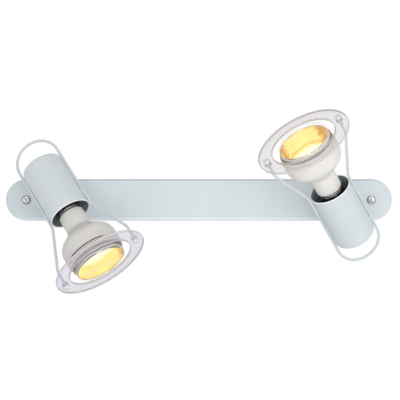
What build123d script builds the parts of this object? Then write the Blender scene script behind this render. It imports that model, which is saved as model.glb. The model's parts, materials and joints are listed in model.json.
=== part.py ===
from build123d import *
from math import asin, cos, radians, sin, sqrt
import os

# Wall light with two pivoting spot heads. Millimetres and degrees.
# X runs along the bar, Z is up, and the wall is the plane y = 0 with the light in front of it, at -Y.

# Clearances
turning_fit = 0.05       # radial, between a pin and the bore that it turns in
turning_gap = 0.1        # between flat faces that turn on each other
seat_gap = 0.05          # between fixed pieces where one is curved
loose_gap = 0.3          # round a piece that only lies beside another

# Bar cover
bar_length = 560.0
bar_width = 60.0
bar_depth = 20.0
bar_sheet = 1.2
bar_fold_radius = 3.0
head_spacing = 380.0

# Cover screws and their posts
cover_screw_diameter = 5.0
cover_screw_head_diameter = 12.4
cover_screw_head_height = 3.2
cover_screw_rim = 0.8
cover_slot_width = 1.5
cover_slot_depth = 1.5
cover_slot_turns = {"left": 125.0, "right": 80.0}
post_diameter = 9.0
post_spigot_diameter = 6.0
post_floor = 3.3
slot_overrun = 1.1         # a slot is cut this much longer than its screw's head is wide

# Wall strap
strap_inset = 18.0
strap_width = 26.0
strap_sheet = 1.5
strap_corner = 5.0
wall_slot_spacing = 240.0
wall_slot_length = 16.0
wall_slot_width = 5.5

# Cable grommet
cable_entry_x = -60.0
cable_bore = 9.0
grommet_sleeve = 12.0
grommet_flange = 17.0
grommet_flange_height = 2.5
grommet_chamfer = 0.8

# Terminal block and earth screw
pole_count = 3
pole_spacing = 10.0
block_length = 20.0
block_height = 13.0
block_margin = 6.0
block_corner = 1.0
tube_diameter = 5.0
tube_bore = 3.4
tube_height = 6.5
terminal_screw_diameter = 3.0
terminal_screw_spacing = 9.0
terminal_screw_length = 4.5
terminal_slot_width = 0.6
terminal_slot_depth = 0.8
earth_screw_x = 60.0
earth_screw_diameter = 4.0
earth_head_diameter = 8.0
earth_head_height = 2.6
earth_slot_width = 1.2
earth_clamp_size = 9.0
earth_clamp_sheet = 1.0

# Insulated wires
core_diameter = 2.0
core_bundle_radius = 1.35
core_run_height = 3.4
core_run_pitch = 2.4
core_run_edge = 11.0
core_bend = 4.0
core_clamped = 9.0
core_last_run = 34.0
core_stub_run = 12.0
core_stub_depth = 4.0

# Swivel
stub_diameter = 10.0
stub_bore = 7.0
stub_flat = 4.3
collar_diameter = 24.0
collar_height = 5.0
collar_round = 1.5
pan_washer_diameter = 22.0
pan_washer_sheet = 1.0
spring_washer_diameter = 18.0
spring_washer_sheet = 0.5
spring_washer_height = 1.0
stop_washer_diameter = 20.0
stop_washer_sheet = 1.2
stop_tab_width = 2.0
stop_tab_reach = 16.0
stop_lug_diameter = 2.4
stop_lug_radius = 14.0
nut_flats = 14.0
nut_height = 4.0
nut_corner = 1.12           # of half the flats, where the corners are turned down
stub_proud = 0.8

# Tilt joint
pivot_height = 24.0
column_diameter = 20.0
ear_radius = 8.0
ear_width = 4.0
tongue_width = 7.0
tongue_swing_gap = 0.8
tilt_screw_diameter = 5.0
tilt_head_diameter = 9.0
tilt_head_height = 3.2
tilt_slot_width = 1.2
tilt_slot_depth = 1.2
tilt_slot_turn = 30.0
tilt_nut_flats = 8.0
tilt_nut_height = 4.0

# Can
can_diameter = 59.0
can_length = 88.0
can_sheet = 1.2
can_end_radius = 4.0
hinge_above_can = 16.5
hinge_behind_mouth = 46.0
saddle_diameter = 20.0
tongue_neck_width = 14.0

# Lampholder and its bracket
bracket_width = 16.0
bracket_sheet = 1.2
bracket_plate_back = 36.2
bracket_leg_end = 11.0
bracket_plate_far = 14.0
holder_radius = 19.5
holder_front = 5.0
holder_step = 8.0
holder_step_radius = 17.5
holder_floor = 29.0
holder_round = 1.0
holder_screw_radius = 10.0
holder_screw_diameter = 3.0
holder_screw_length = 5.0
holder_screw_head = 5.6
holder_screw_head_height = 2.0
holder_slot_width = 0.8
holder_wire_radius = 13.5
shell_wall = 1.1
leaf_sheet = 0.5
leaf_width = 4.0
leaf_half_length = 9.0
leaf_bend = 0.5

# Lamp
thread_pitch = 3.63
thread_turns = 5
thread_depth = 1.0
cap_radius = 13.15
cap_wall = 0.8
cap_collar = 3.0
cap_tuck = 4.0
thread_gap = 0.25
insulator_length = 3.0
insulator_tuck = 1.0
contact_length = 2.5
contact_radius = 4.6
neck_radius = 18.0
neck_length = 28.5
neck_bevel = 2.0
shell_radius = 40.0
shoulder_at = 47.0
shell_rim_at = 71.2
shell_sheet = 1.5
neck_hollow = 6.0
shoulder_round = 18.0
glass_wall = 1.3
glass_tube_radius = 9.5
glass_tube_start = 4.5
glass_tube_end = 24.0
glass_behind_shoulder = 4.0
glass_rim_step = 0.8
glass_lip = 1.2
glass_lip_rounds = (0.2, 0.3, 0.8)
glass_front_taper = 2.6
glass_front_at = 90.0
glass_front_round = 3.5
lamp_front_at = 96.0
stem_radius = 4.5
stem_top_at = 30.0
filament_at = 52.0
filament_radius = 9.0
filament_coil = 1.8
filament_wire = 1.0
filament_arc = 250.0

# Wire frame, clear ring and its grommets
wire_diameter = 3.8
loop_gap = 9.0
splay_start = 3.0
splay_end = 63.0
wire_bend = 13.0
wire_past_ring = 3.0
weld_length = 8.0
weld_width = 2.4
weld_places = (14.0, 74.0)
ring_gap = 7.3
ring_width = 20.5
ring_sheet = 3.0
ring_at = 86.0
ring_edge_round = 0.6
ring_hole = 6.4
ring_hole_inset = 10.0
grommet_head = 9.4
grommet_head_height = 4.6
grommet_back_height = 1.8

# Pose in which the light is shown: swivel is the aim's angle from +X towards +Z, and tilt is the aim's
# angle away from the wall
poses = {
    "left": {"x": -head_spacing / 2, "swivel": -56.0, "tilt": 24.0},
    "right": {"x": head_spacing / 2, "swivel": 122.0, "tilt": 29.0},
}

# Planes that look out of the wall
wall = Plane.XZ
strap_face = wall.offset(strap_sheet)
cover_inside = wall.offset(bar_depth - bar_sheet)
cover_face = wall.offset(bar_depth)

# Sizes that follow from those above
strap_length = bar_length - 2 * strap_inset
cover_screw_spacing = bar_length - bar_width
cover_screw_reach = bar_depth - bar_sheet - strap_sheet - post_floor
stub_radius = stub_diameter / 2
can_radius = can_diameter / 2
can_inside = can_radius - can_sheet
hinge_to_can_axis = can_radius + hinge_above_can
bracket_leg_back = hinge_behind_mouth + bracket_leg_end
wire_radius = wire_diameter / 2
wire_to_axis = can_radius + wire_radius + loose_gap
fork_floor = pivot_height - ear_radius - tongue_swing_gap
fork_half_gap = tongue_width / 2 + turning_gap
fork_half_width = fork_half_gap + ear_width
leg_face = sqrt(can_inside**2 - (bracket_width / 2) ** 2) - seat_gap
can_nut_face = leg_face - bracket_sheet
can_stub_end = can_nut_face - nut_height - stub_proud
saddle_start = hinge_to_can_axis - ear_radius - tongue_swing_gap
tip_at = -(cap_collar + thread_turns * thread_pitch + insulator_length + contact_length)
glass_cone_end = shoulder_at + glass_behind_shoulder
glass_rim_radius = shell_radius - glass_rim_step
glass_front_radius = glass_rim_radius - glass_front_taper
loop_centre_back = can_length + loop_gap
ring_bore = 2 * (glass_rim_radius + ring_gap)
ring_diameter = ring_bore + 2 * ring_width
ring_hole_radius = ring_bore / 2 + ring_hole_inset
wire_end_at = ring_at + ring_sheet / 2 + wire_past_ring

os.makedirs("parts", exist_ok=True)


def save(node, piece):
    piece.part.label = node
    export_step(piece.part, f"parts/{node}.step")


def save_placed(node, piece, plane):
    with BuildPart() as placed:
        with Locations(plane):
            add(piece.part)
    save(node, placed)


def dome_line(rim_radius, rim_height, top):
    """Shallow spherical dome as an arc from its rim to its top on the axis."""
    rise = top - rim_height
    sphere = (rim_radius**2 + rise**2) / (2 * rise)
    half_angle = asin(rim_radius / sphere) / 2
    middle = (sphere * sin(half_angle), top - sphere * (1 - cos(half_angle)))
    ThreePointArc((rim_radius, rim_height), middle, (0, top))


def thread_line(radius, length_from, turns):
    """Rounded screw thread as a wavy line of equal arcs, from its front end backwards."""
    half = thread_pitch / 2
    for step in range(2 * turns):
        side = 1 if step % 2 == 0 else -1
        start = (radius, length_from - step * half)
        middle = (radius + side * thread_depth / 2, length_from - (step + 0.5) * half)
        end = (radius, length_from - (step + 1) * half)
        ThreePointArc(start, middle, end)


def core(points, bend):
    """One insulated wire along a route of straight runs and arcs."""
    with BuildPart() as wire:
        with BuildLine() as route:
            FilletPolyline(*points, radius=bend)
        with BuildSketch(Plane(origin=route.line @ 0, z_dir=route.line % 0)):
            Circle(core_diameter / 2)
        sweep()
    return wire


# ---------------------------------------------------------------- wall bar

# Bar cover: pressed pan with round ends, open to the wall, with a stop lug outside each swivel hole
with BuildPart() as bar_cover:
    with BuildSketch(wall):
        SlotOverall(bar_length, bar_width)
    extrude(amount=bar_depth)
    fillet(bar_cover.faces().sort_by(Axis.Y)[0].edges(), bar_fold_radius)
    offset(amount=-bar_sheet, openings=bar_cover.faces().sort_by(Axis.Y)[-1])
    with Locations(cover_face):
        with GridLocations(head_spacing, 0, 2, 1):
            Hole(stub_radius + turning_fit, depth=2 * bar_sheet)
        with GridLocations(cover_screw_spacing, 0, 2, 1):
            Hole(cover_screw_diameter / 2 + loose_gap, depth=2 * bar_sheet)
    with BuildSketch(cover_inside):
        with GridLocations(head_spacing + 2 * stop_lug_radius, 0, 2, 1):
            Circle(stop_lug_diameter / 2)
    extrude(amount=-(spring_washer_height + stop_washer_sheet + 2 * turning_gap))
save("bar_cover", bar_cover)

# Wall strap: flat steel with slots for the wall screws and holes for posts, grommet and earth screw
with BuildPart() as wall_strap:
    with BuildSketch(wall):
        RectangleRounded(strap_length, strap_width, strap_corner)
        with GridLocations(wall_slot_spacing, 0, 2, 1):
            SlotOverall(wall_slot_length, wall_slot_width, mode=Mode.SUBTRACT)
        with GridLocations(cover_screw_spacing, 0, 2, 1):
            Circle(post_spigot_diameter / 2 + seat_gap, mode=Mode.SUBTRACT)
        with Locations((cable_entry_x, 0)):
            Circle(grommet_sleeve / 2 + seat_gap, mode=Mode.SUBTRACT)
        with Locations((earth_screw_x, 0)):
            Circle(earth_screw_diameter / 2 + seat_gap, mode=Mode.SUBTRACT)
    extrude(amount=strap_sheet)
save("wall_strap", wall_strap)

# Cover posts: riveted into the strap, bored for the cover screws
with BuildPart() as cover_posts:
    with BuildSketch(wall):
        with GridLocations(cover_screw_spacing, 0, 2, 1):
            Circle(post_spigot_diameter / 2)
    extrude(amount=strap_sheet)
    with BuildSketch(strap_face):
        with GridLocations(cover_screw_spacing, 0, 2, 1):
            Circle(post_diameter / 2)
    extrude(amount=bar_depth - bar_sheet - strap_sheet)
    with Locations(cover_inside):
        with GridLocations(cover_screw_spacing, 0, 2, 1):
            Hole(cover_screw_diameter / 2 + seat_gap, depth=cover_screw_reach)
save("cover_posts", cover_posts)

# Cover screws: domed heads with a slot, on the round ends of the bar
with BuildPart() as cover_screws:
    for side, slot_turn in cover_slot_turns.items():
        screw_x = (cover_screw_spacing / 2) * (-1 if side == "left" else 1)
        seat = Plane(origin=(screw_x, -bar_depth, 0), x_dir=(1, 0, 0), z_dir=(0, -1, 0))
        profile = Plane(origin=seat.origin, x_dir=(1, 0, 0), z_dir=(0, 0, -1))
        with BuildSketch(profile):
            with BuildLine():
                head_radius = cover_screw_head_diameter / 2
                Line((0, 0), (head_radius, 0))
                Line((head_radius, 0), (head_radius, cover_screw_rim))
                dome_line(head_radius, cover_screw_rim, cover_screw_head_height)
                Line((0, cover_screw_head_height), (0, 0))
            make_face()
        revolve(axis=Axis(seat.origin, (0, -1, 0)))
        with BuildSketch(seat):
            Circle(cover_screw_diameter / 2)
        extrude(amount=-(bar_sheet + cover_screw_reach - 2 * loose_gap))
        with BuildSketch(seat.offset(cover_screw_head_height)):
            with Locations((0, 0)):
                Rectangle(slot_overrun * cover_screw_head_diameter, cover_slot_width, rotation=slot_turn)
        extrude(amount=-cover_slot_depth, mode=Mode.SUBTRACT)
save("cover_screws", cover_screws)

# Cable grommet: rubber sleeve through the strap with its flange inside the bar
with BuildPart() as cable_grommet:
    with BuildSketch(wall):
        with Locations((cable_entry_x, 0)):
            Circle(grommet_sleeve / 2)
    extrude(amount=strap_sheet)
    with BuildSketch(strap_face):
        with Locations((cable_entry_x, 0)):
            Circle(grommet_flange / 2)
    extrude(amount=grommet_flange_height)
    chamfer(cable_grommet.edges().filter_by(GeomType.CIRCLE).sort_by(Axis.Y)[0], grommet_chamfer)
    with BuildSketch(wall):
        with Locations((cable_entry_x, 0)):
            Circle(cable_bore / 2)
    extrude(amount=strap_sheet + grommet_flange_height, mode=Mode.SUBTRACT)
save("cable_grommet", cable_grommet)

# Terminal block: insulating body on the strap, one through bore and two screw holes to each pole
block_width = (pole_count - 1) * pole_spacing + 2 * block_margin
tube_axis = wall.offset(strap_sheet + tube_height)
block_top = strap_face.offset(block_height)
with BuildPart() as terminal_block:
    with BuildSketch(strap_face):
        RectangleRounded(block_length, block_width, block_corner)
    extrude(amount=block_height)
    with BuildSketch(Plane.YZ.offset(-block_length / 2)):
        with Locations((tube_axis.origin.Y, 0)):
            with GridLocations(0, pole_spacing, 1, pole_count):
                Circle(tube_diameter / 2 + seat_gap)
    extrude(amount=block_length, mode=Mode.SUBTRACT)
    with BuildSketch(block_top):
        with GridLocations(terminal_screw_spacing, pole_spacing, 2, pole_count):
            Circle(terminal_screw_diameter / 2 + seat_gap)
    extrude(amount=-(block_height - tube_height), mode=Mode.SUBTRACT)
save("terminal_block", terminal_block)

# Terminal tubes: brass, one to a pole, tapped from the front for the clamping screws
with BuildPart() as terminal_tubes:
    with BuildSketch(Plane.YZ.offset(-block_length / 2 + loose_gap)):
        with Locations((tube_axis.origin.Y, 0)):
            with GridLocations(0, pole_spacing, 1, pole_count):
                Circle(tube_diameter / 2)
                Circle(tube_bore / 2, mode=Mode.SUBTRACT)
    extrude(amount=block_length - 2 * loose_gap)
    with BuildSketch(block_top):
        with GridLocations(terminal_screw_spacing, pole_spacing, 2, pole_count):
            Circle(terminal_screw_diameter / 2 + seat_gap)
    extrude(amount=-(block_height - tube_height), mode=Mode.SUBTRACT)
save("terminal_tubes", terminal_tubes)

# Terminal screws: slotted grub screws, two to a pole
screw_tip = tube_axis.offset(core_diameter / 2 + seat_gap)
with BuildPart() as terminal_screws:
    with BuildSketch(screw_tip):
        with GridLocations(terminal_screw_spacing, pole_spacing, 2, pole_count):
            Circle(terminal_screw_diameter / 2)
    extrude(amount=terminal_screw_length)
    with BuildSketch(screw_tip.offset(terminal_screw_length)):
        with GridLocations(terminal_screw_spacing, pole_spacing, 2, pole_count):
            Rectangle(slot_overrun * terminal_screw_diameter, terminal_slot_width)
    extrude(amount=-terminal_slot_depth, mode=Mode.SUBTRACT)
save("terminal_screws", terminal_screws)

# Earth screw: pan head over a square clamp, in the strap
clamp_face = strap_face.offset(earth_clamp_sheet + seat_gap)
with BuildPart() as earth_screw:
    with BuildSketch(strap_face):
        with Locations((earth_screw_x, 0)):
            Rectangle(earth_clamp_size, earth_clamp_size)
            Circle(earth_screw_diameter / 2 + seat_gap, mode=Mode.SUBTRACT)
    extrude(amount=earth_clamp_sheet)
    with BuildSketch(clamp_face):
        with Locations((earth_screw_x, 0)):
            Circle(earth_head_diameter / 2)
    extrude(amount=earth_head_height)
    fillet(earth_screw.faces().sort_by(Axis.Y)[0].edges(), earth_head_height / 3)
    with BuildSketch(wall):
        with Locations((earth_screw_x, 0)):
            Circle(earth_screw_diameter / 2)
    extrude(amount=strap_sheet + earth_clamp_sheet + seat_gap)
    with BuildSketch(clamp_face.offset(earth_head_height)):
        with Locations((earth_screw_x, 0)):
            Rectangle(slot_overrun * earth_head_diameter, earth_slot_width)
    extrude(amount=-earth_head_height / 2, mode=Mode.SUBTRACT)
save("earth_screw", earth_screw)

# Wires in the bar: one to each pole and head, clamped in the tubes and led into the hollow swivel stubs
def bar_core(head_x, way, pole):
    pole_z = (pole - (pole_count - 1) / 2) * pole_spacing
    run_y = -(core_run_height + pole * core_run_pitch)
    run_z = core_run_edge + pole * core_run_pitch
    around = radians(360 * pole / pole_count)
    stub_x = head_x + way * core_bundle_radius * cos(around)
    stub_z = core_bundle_radius * sin(around)
    tube_y = tube_axis.origin.Y
    block_end = way * block_length / 2
    points = [
        (block_end - way * core_clamped, tube_y, pole_z),
        (block_end + way * core_bend, tube_y, pole_z),
        (block_end + way * (2 * core_bend + (pole_count - pole) * core_run_pitch), run_y, run_z),
        (head_x - way * core_last_run, run_y, run_z),
        (stub_x - way * core_stub_run, run_y, stub_z),
        (stub_x, run_y, stub_z),
        (stub_x, -(bar_depth - core_stub_depth), stub_z),
    ]
    return core(points, [core_bend / 2, core_bend / 2, core_bend, core_bend, core_bend])


bar_cores = [
    bar_core(pose["x"], -1 if side == "left" else 1, pole)
    for side, pose in poses.items()
    for pole in range(pole_count)
]
with BuildPart() as bar_leads:
    for wire in bar_cores:
        add(wire.part)
save("bar_leads", bar_leads)


# ---------------------------------------------------------------- swivel arm
# In these blocks Z runs out of the wall from the bar's face, along the swivel axis, and X is the way
# that the head aims. The tilt axis runs along Y at pivot_height.

spring_top = -bar_sheet - turning_gap
stop_top = spring_top - spring_washer_height
lock_top = stop_top - stop_washer_sheet
stub_end = lock_top - nut_height - stub_proud

# Arm: collar, hollow threaded stub with a flat, column and fork, turned and milled from one bar
with BuildPart() as arm:
    collar_seat = pan_washer_sheet + 2 * turning_gap
    with BuildSketch(Plane.XY.offset(collar_seat)):
        Circle(collar_diameter / 2)
    extrude(amount=collar_height)
    fillet(arm.edges().sort_by(Axis.Z)[-1], collar_round)
    with BuildSketch(Plane.XY.offset(collar_seat + collar_height)):
        Circle(column_diameter / 2)
    extrude(amount=fork_floor - collar_seat - collar_height)
    with BuildSketch(Plane.XZ) as ear_outline:
        with Locations((0, pivot_height)):
            Circle(ear_radius)
        with Locations((0, fork_floor)):
            Rectangle(2 * ear_radius, pivot_height - fork_floor, align=(Align.CENTER, Align.MIN))
    extrude(amount=fork_half_width, both=True)
    with Locations((0, 0, fork_floor)):
        Box(
            2 * column_diameter, 2 * fork_half_gap, 2 * pivot_height,
            align=(Align.CENTER, Align.CENTER, Align.MIN), mode=Mode.SUBTRACT,
        )
    with BuildSketch(Plane.XY.offset(collar_seat)):
        Circle(stub_radius)
    extrude(amount=-(collar_seat - stub_end))
    with BuildSketch(Plane.XY.offset(spring_top)):
        with Locations((-stub_flat, 0)):
            Rectangle(stub_diameter, stub_diameter, align=(Align.MAX, Align.CENTER))
    extrude(amount=stub_end - spring_top, mode=Mode.SUBTRACT)
    with BuildSketch(Plane.XY.offset(stub_end)):
        Circle(stub_bore / 2)
    extrude(amount=fork_floor - stub_end, mode=Mode.SUBTRACT)
    with BuildSketch(Plane.XZ.offset(fork_half_width)):
        with Locations((0, pivot_height)):
            Circle(tilt_screw_diameter / 2 + seat_gap)
    extrude(amount=-2 * fork_half_width, mode=Mode.SUBTRACT)

# Pan washer: nylon ring between collar and bar, on which the head swivels
with BuildPart() as pan_washer:
    with BuildSketch(Plane.XY.offset(turning_gap)):
        Circle(pan_washer_diameter / 2)
        Circle(stub_radius + turning_fit, mode=Mode.SUBTRACT)
    extrude(amount=pan_washer_sheet)

# Spring washer: cupped steel ring that keeps the swivel stiff
with BuildPart() as spring_washer:
    with BuildSketch(Plane.XZ):
        with BuildLine():
            bore_radius = stub_radius + turning_fit
            rim_radius = spring_washer_diameter / 2
            cup_drop = spring_washer_height - spring_washer_sheet
            Polyline(
                (bore_radius, spring_top - cup_drop),
                (rim_radius, spring_top),
                (rim_radius, spring_top - spring_washer_sheet),
                (bore_radius, spring_top - spring_washer_height),
                close=True,
            )
        make_face()
    revolve(axis=Axis.Z)

# Stop washer: keyed to the stub's flat, its tab meets the stop lug at each end of the swivel
with BuildPart() as stop_washer:
    with BuildSketch(Plane.XY.offset(stop_top - stop_washer_sheet)):
        Circle(stop_washer_diameter / 2)
        Rectangle(stop_tab_reach, stop_tab_width, align=(Align.MIN, Align.CENTER))
        with BuildSketch(mode=Mode.SUBTRACT) as keyed_hole:
            Circle(stub_radius + seat_gap)
            with Locations((-stub_flat - seat_gap, 0)):
                Rectangle(
                    stub_diameter, 2 * stub_diameter,
                    align=(Align.MAX, Align.CENTER), mode=Mode.SUBTRACT,
                )
    extrude(amount=stop_washer_sheet)


def hex_nut(flats, height, bore, base):
    """Plain hexagon nut on the Z side of a plane, with its corners turned down."""
    with BuildPart() as nut:
        with BuildSketch(base):
            RegularPolygon(flats / 2, 6, major_radius=False)
        extrude(amount=height)
        with BuildSketch(base):
            Circle(nut_corner * flats / 2)
        extrude(amount=height, mode=Mode.INTERSECT)
        with BuildSketch(base):
            Circle(bore / 2)
        extrude(amount=height, mode=Mode.SUBTRACT)
    return nut


lock_nut = hex_nut(
    nut_flats, nut_height, stub_diameter + 2 * seat_gap, Plane.XY.offset(lock_top - nut_height),
)

# Tilt screw and nut: slotted screw through the fork and the knuckle's tongue
tilt_axis = Plane(origin=(0, -fork_half_width, pivot_height), x_dir=(1, 0, 0), z_dir=(0, -1, 0))
with BuildPart() as tilt_screw:
    with BuildSketch(tilt_axis):
        Circle(tilt_head_diameter / 2)
    extrude(amount=tilt_head_height)
    fillet(tilt_screw.edges().sort_by(Axis.Y)[0], tilt_head_height / 2)
    with BuildSketch(tilt_axis):
        Circle(tilt_screw_diameter / 2)
    extrude(amount=-(2 * fork_half_width + tilt_nut_height + stub_proud))
    with BuildSketch(tilt_axis.offset(tilt_head_height)):
        Rectangle(slot_overrun * tilt_head_diameter, tilt_slot_width, rotation=tilt_slot_turn)
    extrude(amount=-tilt_slot_depth, mode=Mode.SUBTRACT)

tilt_nut = hex_nut(
    tilt_nut_flats, tilt_nut_height, tilt_screw_diameter + 2 * seat_gap,
    Plane(origin=(0, fork_half_width, pivot_height), x_dir=(1, 0, 0), z_dir=(0, 1, 0)),
)

arm_pieces = {
    "arm": arm,
    "pan_washer": pan_washer,
    "spring_washer": spring_washer,
    "stop_washer": stop_washer,
    "lock_nut": lock_nut,
    "tilt_screw": tilt_screw,
    "tilt_nut": tilt_nut,
}


# ---------------------------------------------------------------- head
# In these blocks the origin is the middle of the can's mouth, Z is the way that the head aims, X runs
# away from the wall, and the tilt axis runs along Y through the hinge point.

hinge = (-hinge_to_can_axis, 0, -hinge_behind_mouth)
hinge_plane = Plane(origin=hinge, x_dir=(0, 1, 0), z_dir=(1, 0, 0))

# Can: drawn steel cup with a rounded closed end and a hole for the knuckle's stub
with BuildPart() as can:
    with BuildSketch(Plane.XY):
        Circle(can_radius)
    extrude(amount=-can_length)
    fillet(can.edges().sort_by(Axis.Z)[0], can_end_radius)
    offset(amount=-can_sheet, openings=can.faces().sort_by(Axis.Z)[-1])
    fillet(can.edges().sort_by(Axis.Z)[-2:], can_sheet / 3)
    with BuildSketch(hinge_plane):
        Circle(stub_radius + seat_gap)
    extrude(amount=hinge_to_can_axis, mode=Mode.SUBTRACT)

# Knuckle: tongue between the fork's ears, saddle on the can and hollow threaded stub into it
with BuildPart() as knuckle:
    with BuildSketch(Plane.XZ):
        with Locations((hinge[0], hinge[2])):
            Circle(ear_radius)
            Rectangle(hinge_to_can_axis, tongue_neck_width, align=(Align.MIN, Align.CENTER))
    extrude(amount=tongue_width / 2, both=True)
    with BuildSketch(hinge_plane.offset(ear_radius + tongue_swing_gap)):
        Circle(saddle_diameter / 2)
    extrude(amount=saddle_start)
    with BuildSketch(Plane.XY):
        Circle(can_radius + seat_gap)
    extrude(amount=-can_length, mode=Mode.SUBTRACT)
    with BuildSketch(hinge_plane.offset(ear_radius + tongue_swing_gap)):
        Circle(stub_radius)
    extrude(amount=saddle_start - can_stub_end)
    with BuildSketch(hinge_plane.offset(ear_radius + 2 * tongue_swing_gap)):
        Circle(stub_bore / 2)
    extrude(amount=hinge_to_can_axis, mode=Mode.SUBTRACT)
    with BuildSketch(Plane.XZ.offset(tongue_width)):
        with Locations((hinge[0], hinge[2])):
            Circle(tilt_screw_diameter / 2 + turning_fit)
    extrude(amount=-2 * tongue_width, mode=Mode.SUBTRACT)

# Holder bracket: steel angle, its leg under the can nut and its plate across the can
with BuildPart() as holder_bracket:
    with BuildSketch(Plane.XZ):
        with BuildLine():
            FilletPolyline(
                (-leg_face + bracket_sheet / 2, -bracket_leg_back),
                (-leg_face + bracket_sheet / 2, -bracket_plate_back + bracket_sheet / 2),
                (bracket_plate_far, -bracket_plate_back + bracket_sheet / 2),
                radius=bracket_sheet * 1.5,
            )
        trace(line_width=bracket_sheet)
    extrude(amount=bracket_width / 2, both=True)
    with BuildSketch(hinge_plane):
        Circle(stub_radius + seat_gap)
    extrude(amount=hinge_to_can_axis - can_nut_face + bracket_sheet, mode=Mode.SUBTRACT)
    with BuildSketch(Plane.XY.offset(-bracket_plate_back)):
        with GridLocations(2 * holder_screw_radius, 0, 2, 1):
            Circle(holder_screw_diameter / 2 + seat_gap)
    extrude(amount=bracket_sheet, mode=Mode.SUBTRACT)

can_nut = hex_nut(
    nut_flats, nut_height, stub_diameter + 2 * seat_gap,
    Plane(origin=(-can_nut_face, 0, -hinge_behind_mouth), x_dir=(0, 1, 0), z_dir=(1, 0, 0)),
)

# Lampholder body: moulded cup on the bracket's plate
holder_back = bracket_plate_back - bracket_sheet
with BuildPart() as holder_body:
    with BuildSketch(Plane.XY.offset(-holder_back)):
        Circle(holder_radius)
    extrude(amount=holder_back - holder_front - holder_step)
    with BuildSketch(Plane.XY.offset(-holder_front - holder_step)):
        Circle(holder_step_radius)
    extrude(amount=holder_step)
    fillet(holder_body.edges().sort_by(Axis.Z)[-1], holder_round)
    shell_radius_outside = cap_radius + thread_gap + shell_wall
    with BuildSketch(Plane.XY.offset(-holder_floor)):
        Circle(shell_radius_outside + seat_gap)
    extrude(amount=holder_floor, mode=Mode.SUBTRACT)
    with BuildSketch(Plane.XY.offset(-holder_back)):
        with GridLocations(2 * holder_screw_radius, 0, 2, 1):
            Circle(holder_screw_diameter / 2 + seat_gap)
        with GridLocations(0, 2 * holder_wire_radius, 1, 2):
            Circle(core_diameter / 2 + loose_gap)
    extrude(amount=holder_screw_length - bracket_sheet + loose_gap, mode=Mode.SUBTRACT)

# Lampholder shell: brass sleeve with the rounded thread that takes the lamp's cap
thread_front = -cap_collar - thread_pitch
thread_mid = cap_radius - thread_depth / 2
with BuildPart() as holder_shell:
    with BuildSketch(Plane.XZ):
        with BuildLine():
            thread_line(thread_mid + thread_gap, thread_front, thread_turns - 1)
            shell_back = -cap_collar - thread_turns * thread_pitch
            Polyline(
                (thread_mid + thread_gap, shell_back),
                (thread_mid + thread_gap, -holder_floor + seat_gap),
                (shell_radius_outside, -holder_floor + seat_gap),
                (shell_radius_outside, thread_front),
                (thread_mid + thread_gap, thread_front),
            )
        make_face()
    revolve(axis=Axis.Z)

# Lampholder contact: brass leaf at the bottom of the cup, sprung against the cap's contact
with BuildPart() as holder_contact:
    with BuildSketch(Plane.XZ):
        with BuildLine():
            FilletPolyline(
                (-leaf_half_length, -holder_floor + leaf_sheet / 2),
                (-leaf_half_length / 2, -holder_floor + leaf_sheet / 2),
                (-leaf_width / 2, tip_at - turning_gap - leaf_sheet / 2),
                (leaf_width / 2, tip_at - turning_gap - leaf_sheet / 2),
                (leaf_half_length / 2, -holder_floor + leaf_sheet / 2),
                (leaf_half_length, -holder_floor + leaf_sheet / 2),
                radius=leaf_bend,
            )
        trace(line_width=leaf_sheet)
    extrude(amount=leaf_width / 2, both=True)

# Holder screws: pan heads behind the bracket's plate
with BuildPart() as holder_screws:
    with BuildSketch(Plane.XY.offset(-bracket_plate_back)):
        with GridLocations(2 * holder_screw_radius, 0, 2, 1):
            Circle(holder_screw_head / 2)
    extrude(amount=-holder_screw_head_height)
    with BuildSketch(Plane.XY.offset(-bracket_plate_back)):
        with GridLocations(2 * holder_screw_radius, 0, 2, 1):
            Circle(holder_screw_diameter / 2)
    extrude(amount=holder_screw_length)
    with BuildSketch(Plane.XY.offset(-bracket_plate_back - holder_screw_head_height)):
        with GridLocations(2 * holder_screw_radius, 0, 2, 1):
            Rectangle(holder_slot_width, slot_overrun * holder_screw_head)
    extrude(amount=holder_screw_head_height / 2, mode=Mode.SUBTRACT)

# Wires in the head: from the hollow stub round behind the bracket and up into the lampholder
head_cores = [
    core(
        [
            (-can_nut_face + stub_proud, way * core_bundle_radius, -hinge_behind_mouth),
            (-holder_radius + core_bend, way * core_bundle_radius, -hinge_behind_mouth),
            (0, way * holder_wire_radius, -hinge_behind_mouth - core_bend),
            (0, way * holder_wire_radius, -holder_back + 2 * core_diameter),
        ],
        [core_bend, core_bend / 2],
    )
    for way in (-1, 1)
]
with BuildPart() as head_leads:
    for wire in head_cores:
        add(wire.part)

# Wire frame: one rod bent to a loop behind the can, along both its sides and out to the ring, held to
# the can by two welds a side
with BuildPart() as wire_frame:
    with BuildLine(Plane.YZ) as rod_line:
        FilletPolyline(
            (ring_hole_radius, wire_end_at),
            (ring_hole_radius, splay_end),
            (wire_to_axis, splay_start),
            (wire_to_axis, -loop_centre_back),
            radius=wire_bend,
        )
        ThreePointArc(
            (wire_to_axis, -loop_centre_back),
            (0, -loop_centre_back - wire_to_axis),
            (-wire_to_axis, -loop_centre_back),
        )
        FilletPolyline(
            (-wire_to_axis, -loop_centre_back),
            (-wire_to_axis, splay_start),
            (-ring_hole_radius, splay_end),
            (-ring_hole_radius, wire_end_at),
            radius=wire_bend,
        )
    with BuildSketch(Plane.XY.offset(wire_end_at)):
        with Locations((0, ring_hole_radius)):
            Circle(wire_radius)
    sweep(path=rod_line.line)
    for weld_at in weld_places:
        with BuildSketch(Plane.XY.offset(-weld_at)):
            for way in (-1, 1):
                with Locations((0, way * (can_radius + wire_to_axis) / 2)):
                    Rectangle(weld_width, wire_to_axis - can_radius + wire_radius)
        extrude(amount=-weld_length)
    with BuildSketch(Plane.XY):
        Circle(can_radius + seat_gap)
    extrude(amount=-can_length, mode=Mode.SUBTRACT)

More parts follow.
